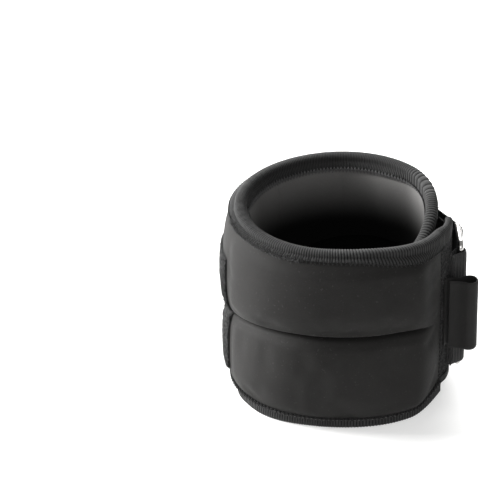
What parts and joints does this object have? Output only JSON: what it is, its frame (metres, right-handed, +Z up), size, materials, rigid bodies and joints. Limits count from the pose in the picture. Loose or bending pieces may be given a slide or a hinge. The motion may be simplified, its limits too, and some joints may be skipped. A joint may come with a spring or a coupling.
{
  "type": "ankle cuff weight",
  "caption": "Padded neoprene ankle weight: a round wrap with sand-filled quilted pads, bound edges, a steel ring on elastic webbing, a finger tab and a hook-and-loop strap.",
  "frame": {"origin": "centre of the object's box, on the face it stands on", "axes": "+Z up along the axis of the leg; +X towards the ring and the finger tab; -Y is the front"},
  "size_m": [0.1414, 0.1308, 0.113],
  "materials": {
    "neoprene": "matt knitted face on foam",
    "lining_fabric": "soft brushed knit",
    "binding_tape": "ribbed woven tape",
    "loop_fabric": "fuzzy looped pile",
    "strap_webbing": "flat smooth webbing",
    "elastic_webbing": "ribbed elastic",
    "tab_fabric": "smooth folded tape",
    "ring_steel": "bright nickel plate",
    "hook_plastic": "fine moulded hooks",
    "sand_pouch": "closed fabric bag of iron sand",
    "thread": "sewing thread"
  },
  "bodies": {
    "band": {"anchor_stitch": "thread", "bottom_binding": "binding_tape", "elastic_anchor": "elastic_webbing", "end_seam_thread": "thread", "fill_pouch_lower_1": "sand_pouch", "fill_pouch_lower_2": "sand_pouch", "fill_pouch_lower_3": "sand_pouch", "fill_pouch_lower_4": "sand_pouch", "fill_pouch_lower_5": "sand_pouch", "fill_pouch_lower_6": "sand_pouch", "fill_pouch_upper_1": "sand_pouch", "fill_pouch_upper_2": "sand_pouch", "fill_pouch_upper_3": "sand_pouch", "fill_pouch_upper_4": "sand_pouch", "fill_pouch_upper_5": "sand_pouch", "fill_pouch_upper_6": "sand_pouch", "flap_binding": "binding_tape", "flap_panel": "loop_fabric", "inner_end_binding": "binding_tape", "inner_lining": "lining_fabric", "loop_patch": "loop_fabric", "loop_patch_stitch": "thread", "mid_seam_thread": "thread", "outer_shell": "neoprene", "quilt_thread_1": "thread", "quilt_thread_2": "thread", "quilt_thread_3": "thread", "quilt_thread_4": "thread", "quilt_thread_5": "thread", "strap_root": "strap_webbing", "strap_root_stitch": "thread", "tab_foot": "tab_fabric", "top_binding": "binding_tape"},
    "ring": {"ring": "ring_steel", "strap_fold": "strap_webbing"},
    "strap": {"strap_return": "strap_webbing"},
    "strap_end": {"strap_end": "strap_webbing", "hook_panel": "hook_plastic", "strap_end_stitch": "thread"},
    "finger_tab": {"finger_tab": "tab_fabric"}
  },
  "joints": [
    {"name": "ring_swing", "type": "hinge", "parent": "band", "child": "ring", "pos_m": [0.06077, -0.01564, 0.0534], "axis": [0, 0, -1], "range_deg": [0, 20]},
    {"name": "strap_peel", "type": "hinge", "parent": "ring", "child": "strap", "pos_m": [0.06266, 0.01003, 0.0534], "axis": [0, 0, -1], "range_deg": [0, 110]},
    {"name": "strap_end_peel", "type": "hinge", "parent": "strap", "child": "strap_end", "pos_m": [0.03065, 0.05405, 0.0534], "axis": [0, 0, -1], "range_deg": [0, 60]},
    {"name": "tab_flex", "type": "hinge", "parent": "band", "child": "finger_tab", "pos_m": [0.05434, -0.02555, 0.0551], "axis": [0, 0, 1], "range_deg": [-35, 8], "stiffness_Nm_per_rad": 0.02}
  ]
}
